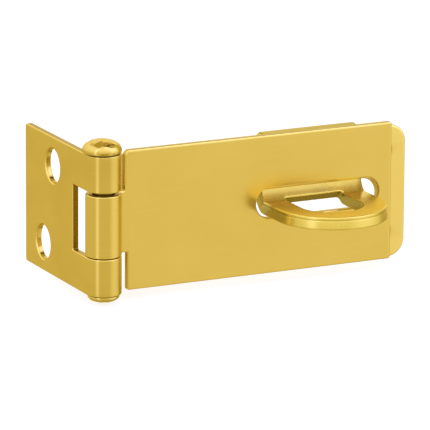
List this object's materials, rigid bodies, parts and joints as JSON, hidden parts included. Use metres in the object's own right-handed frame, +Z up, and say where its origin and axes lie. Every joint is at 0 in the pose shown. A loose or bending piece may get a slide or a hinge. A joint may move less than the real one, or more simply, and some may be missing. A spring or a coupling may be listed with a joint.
{
  "type": "hasp and staple",
  "caption": "Hinged hasp leaf with a slot that closes over a fixed padlock staple on its own base plate.",
  "frame": {"origin": "on the hinge leaf's mounting face, midway between its two screw holes, at the leaves' mid height", "axes": "+X out of the hinge leaf's mounting face and along the closed hasp leaf, +Y from the hasp leaf's face into the door, +Z up along the hinge pin towards its domed head"},
  "size_m": [0.0684, 0.0448, 0.0312],
  "materials": {
    "hinge_leaf_plating": "bright brass plating on rolled steel sheet",
    "pin_plating": "bright brass plating on a cold headed pin",
    "hasp_leaf_plating": "satin brass plating on rolled steel sheet",
    "plate_plating": "satin brass plating on rolled steel sheet",
    "strap_plating": "bright brass plating on thick sheared steel strap"
  },
  "bodies": {
    "hinge_side": {"hinge_leaf": "hinge_leaf_plating", "hinge_pin": "pin_plating"},
    "hasp": {"hasp_leaf": "hasp_leaf_plating"},
    "staple": {"staple_plate": "plate_plating", "staple_strap": "strap_plating"}
  },
  "joints": [
    {"name": "hasp_swing", "type": "hinge", "parent": "hinge_side", "child": "hasp", "pos_m": [0.0021, -0.0179, 0], "axis": [0, 0, -1], "range_deg": [0, 216]},
    {"name": "staple_withdraw", "type": "slide", "parent": "hinge_side", "child": "staple", "axis": [0, 1, 0], "range_m": [0, 0.03]}
  ]
}
